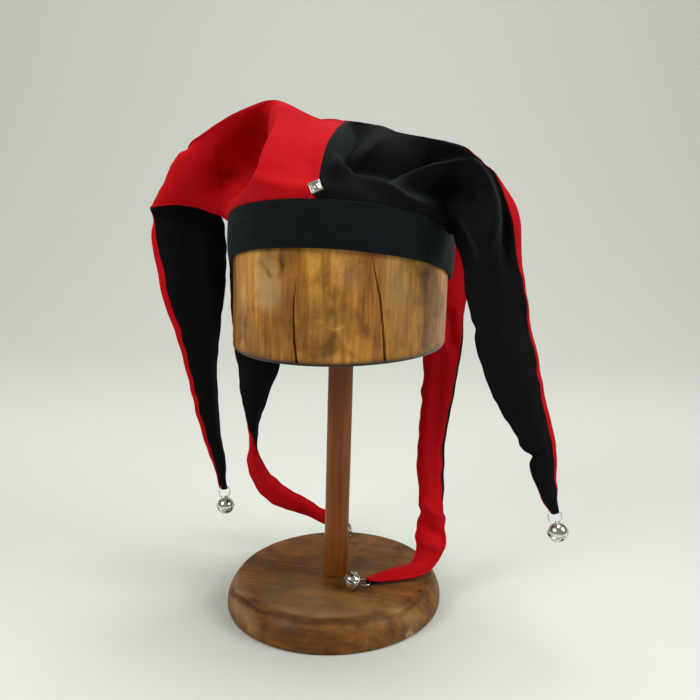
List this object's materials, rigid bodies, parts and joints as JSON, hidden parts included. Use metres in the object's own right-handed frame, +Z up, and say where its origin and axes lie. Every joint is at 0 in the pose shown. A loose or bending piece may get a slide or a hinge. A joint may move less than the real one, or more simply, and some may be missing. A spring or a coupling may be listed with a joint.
{
  "type": "jester hat on a wooden hat stand",
  "caption": "Soft two-coloured jester hat with hanging tails tipped with ringed bells, on a wooden head block, post and oval base.",
  "frame": {"origin": "centre of the stand's flat underside, on the axis of its post", "axes": "+Z up along the post, -Y towards the hat's front seam, +X towards the tail that hangs on the right of a viewer in front"},
  "size_m": [0.3446, 0.2164, 0.4197],
  "materials": {
    "red_cloth": "woven cotton, matt with a soft sheen",
    "black_cloth": "woven cotton, matt, slightly faded",
    "band_cloth": "woven cotton over a stiffened band, matt",
    "block_wood": "worn, thinly oiled, cracked along the grain",
    "post_wood": "stained and waxed",
    "base_wood": "stained, worn at the edge",
    "nickel": "bright nickel plate"
  },
  "bodies": {
    "root": {"stand_base": "base_wood", "stand_post": "post_wood", "stand_block": "block_wood", "band": "band_cloth", "left_front_red_panel": "red_cloth", "left_front_black_panel": "black_cloth", "right_front_black_panel": "black_cloth", "right_front_red_panel": "red_cloth", "right_back_black_panel": "black_cloth", "right_back_red_panel": "red_cloth", "left_back_red_panel": "red_cloth", "left_back_black_panel": "black_cloth", "stud": "nickel", "left_front_ring": "nickel", "left_front_bell": "nickel", "right_front_ring": "nickel", "right_front_bell": "nickel", "right_back_ring": "nickel", "right_back_bell": "nickel", "left_back_ring": "nickel", "left_back_bell": "nickel"}
  },
  "joints": []
}
